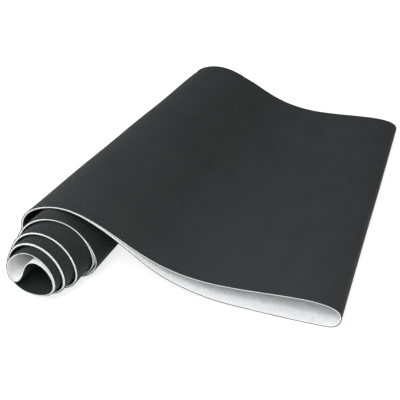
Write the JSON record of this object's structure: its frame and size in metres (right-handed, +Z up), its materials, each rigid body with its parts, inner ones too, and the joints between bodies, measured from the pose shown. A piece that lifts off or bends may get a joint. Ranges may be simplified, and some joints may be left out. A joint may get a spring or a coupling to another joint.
{
  "type": "treadmill running belt",
  "caption": "Endless running belt with an embossed black cover and a white fabric running face, pressed flat and rolled up from one end, the turns standing out of each other.",
  "frame": {"origin": "on the floor under the roll's flat rest strip, at half the belt width", "axes": "+X along the free tail to the mouth fold, +Y along the roll's axis away from the end whose turns stand out, +Z up"},
  "size_m": [0.2837, 0.564, 0.0657],
  "materials": {
    "cover": "matte black PVC with a fine diamond emboss, weak broad sheen",
    "tension_ply": "plain woven polyester soaked in a dark grey binder, raw cut edge",
    "running_fabric": "fine white weave with cross ribs, matt"
  },
  "bodies": {
    "root": {"wrap_1_outer_cover": "cover", "wrap_1_outer_tension_ply": "tension_ply", "wrap_1_outer_running_fabric": "running_fabric", "wrap_1_inner_cover": "cover", "wrap_1_inner_tension_ply": "tension_ply", "wrap_1_inner_running_fabric": "running_fabric"},
    "wrap_2": {"wrap_2_outer_cover": "cover", "wrap_2_outer_tension_ply": "tension_ply", "wrap_2_outer_running_fabric": "running_fabric", "wrap_2_inner_cover": "cover", "wrap_2_inner_tension_ply": "tension_ply", "wrap_2_inner_running_fabric": "running_fabric"},
    "wrap_3": {"wrap_3_outer_cover": "cover", "wrap_3_outer_tension_ply": "tension_ply", "wrap_3_outer_running_fabric": "running_fabric", "wrap_3_inner_cover": "cover", "wrap_3_inner_tension_ply": "tension_ply", "wrap_3_inner_running_fabric": "running_fabric"},
    "wrap_4": {"wrap_4_outer_cover": "cover", "wrap_4_outer_tension_ply": "tension_ply", "wrap_4_outer_running_fabric": "running_fabric", "wrap_4_inner_cover": "cover", "wrap_4_inner_tension_ply": "tension_ply", "wrap_4_inner_running_fabric": "running_fabric"},
    "core": {"core_cover": "cover", "core_tension_ply": "tension_ply", "core_running_fabric": "running_fabric"},
    "tail": {"lower_run_cover": "cover", "lower_run_tension_ply": "tension_ply", "lower_run_running_fabric": "running_fabric", "upper_run_root_cover": "cover", "upper_run_root_tension_ply": "tension_ply", "upper_run_root_running_fabric": "running_fabric"},
    "upper_run": {"upper_run_cover": "cover", "upper_run_tension_ply": "tension_ply", "upper_run_running_fabric": "running_fabric"}
  },
  "joints": [
    {"name": "wrap_2_slide", "type": "slide", "parent": "root", "child": "wrap_2", "axis": [0, -1, 0], "range_m": [-0.027, 0.01]},
    {"name": "wrap_3_slide", "type": "slide", "parent": "wrap_2", "child": "wrap_3", "axis": [0, -1, 0], "range_m": [-0.0166, 0.00621]},
    {"name": "wrap_4_slide", "type": "slide", "parent": "wrap_3", "child": "wrap_4", "axis": [0, -1, 0], "range_m": [-0.0111, 0.00417]},
    {"name": "core_slide", "type": "slide", "parent": "wrap_4", "child": "core", "axis": [0, -1, 0], "range_m": [-0.0096, 0.00362]},
    {"name": "tail_lift", "type": "hinge", "parent": "root", "child": "tail", "pos_m": [0.027, 0, 0.0592], "axis": [0, -1, 0], "range_deg": [0, 18]},
    {"name": "mouth_open", "type": "hinge", "parent": "tail", "child": "upper_run", "pos_m": [0.0765, 0, 0.0341], "axis": [0, -1, 0], "range_deg": [-4, 6]}
  ],
  "couplings": [
    {"joint": "wrap_3_slide", "follows": "wrap_2_slide", "ratio": 0.61111},
    {"joint": "wrap_4_slide", "follows": "wrap_2_slide", "ratio": 0.40741},
    {"joint": "core_slide", "follows": "wrap_2_slide", "ratio": 0.35185}
  ]
}
